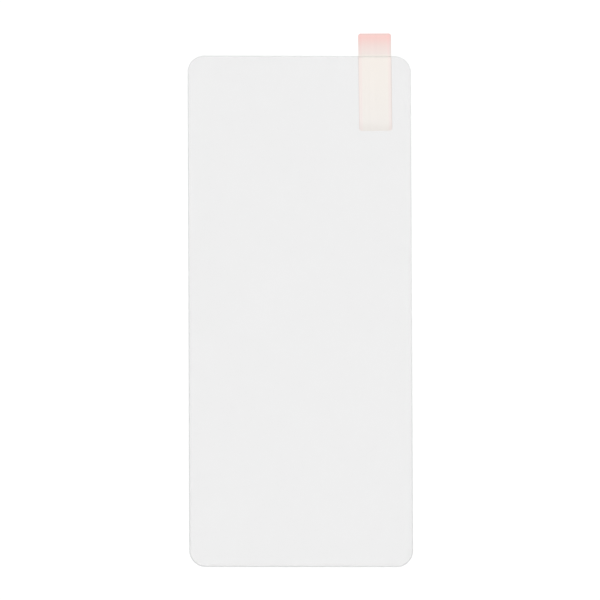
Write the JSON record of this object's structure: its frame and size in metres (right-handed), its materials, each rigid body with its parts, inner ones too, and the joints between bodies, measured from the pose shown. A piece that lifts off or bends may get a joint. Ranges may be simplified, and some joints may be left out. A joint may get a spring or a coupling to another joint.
{
  "type": "phone screen protector",
  "caption": "Flat clear tempered glass screen protector with rounded corners and a ground front edge, backed by adhesive and a clear release liner that is peeled off by a tinted tab.",
  "frame": {"origin": "centre of the adhesive's sticking face, the plane that goes onto a phone's screen", "axes": "+Z out of the glass's front, +Y along the sheet to the end with the tab, +X to the right as seen from the front"},
  "size_m": [0.0694, 0.1658, 0.0005],
  "materials": {
    "tempered_glass": "polished",
    "silicone_adhesive": "gloss",
    "clear_film": "gloss",
    "tinted_film": "satin"
  },
  "bodies": {
    "root": {"glass_sheet": "tempered_glass", "adhesive_film": "silicone_adhesive", "release_liner": "clear_film", "pull_tab": "tinted_film"}
  },
  "joints": []
}
